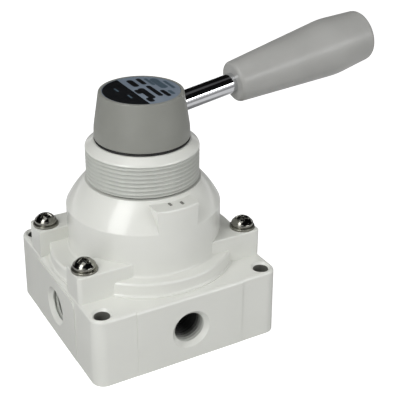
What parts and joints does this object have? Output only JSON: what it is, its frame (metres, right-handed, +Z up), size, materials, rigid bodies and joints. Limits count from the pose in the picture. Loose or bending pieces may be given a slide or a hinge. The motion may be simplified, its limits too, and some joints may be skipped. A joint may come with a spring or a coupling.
{
  "type": "hand lever rotary air valve",
  "caption": "Square die-cast rotary air valve with side ports, a threaded panel collar and a hand lever that turns left and right of a middle position.",
  "frame": {"origin": "centre of the base's flat mounting face", "axes": "+Z up the lever's turning axis, +X where the lever points in its middle position, -Y the front port"},
  "size_m": [0.1303, 0.072, 0.1037],
  "materials": {
    "cast_body": "die-cast, painted with semi-gloss off-white enamel",
    "seat_metal": "lapped, hard anodised",
    "seal_rubber": "black nitrile",
    "pin_steel": "ground",
    "screw_chrome": "bright nickel plate",
    "washer_zinc": "pressed and zinc plated",
    "bronze": "sintered bronze",
    "acetal": "white acetal",
    "spring_steel": "drawn wire",
    "shaft_steel": "turned",
    "hub_grey": "satin mid grey",
    "label_film": null,
    "rod_chrome": "bright chrome plate",
    "grip_grey": "satin light grey"
  },
  "bodies": {
    "valve_body": {"base_block": "cast_body", "seat_seals": "seal_rubber", "seat_dowels": "pin_steel", "seat_plate": "seat_metal", "joint_seal": "seal_rubber", "cover": "cast_body", "cover_screws": "screw_chrome", "screw_washers": "washer_zinc", "dust_seal": "seal_rubber", "shaft_bushing": "bronze", "thrust_washer": "acetal"},
    "lever": {"slide_disc": "acetal", "disc_spring": "spring_steel", "shaft": "shaft_steel", "shaft_seal": "seal_rubber", "detent_spring": "spring_steel", "lever_hub": "hub_grey", "hub_screw": "pin_steel", "hub_label": "label_film", "lever_rod": "rod_chrome", "grip": "grip_grey"},
    "front_ball": {"detent_ball_front": "pin_steel"},
    "rear_ball": {"detent_ball_rear": "pin_steel"}
  },
  "joints": [
    {"name": "lever_turn", "type": "hinge", "parent": "valve_body", "child": "lever", "pos_m": [0, 0, 0.05], "axis": [0, 0, 1], "range_deg": [-45, 45]},
    {"name": "front_ball_slide", "type": "slide", "parent": "lever", "child": "front_ball", "axis": [0, -1, 0], "range_m": [0, 0.0006], "stiffness_N_per_m": 2000, "springref_m": 0.004, "deforming": ["detent_spring"]},
    {"name": "rear_ball_slide", "type": "slide", "parent": "lever", "child": "rear_ball", "axis": [0, 1, 0], "range_m": [0, 0.0006], "stiffness_N_per_m": 2000, "springref_m": 0.004, "deforming": ["detent_spring"]}
  ]
}
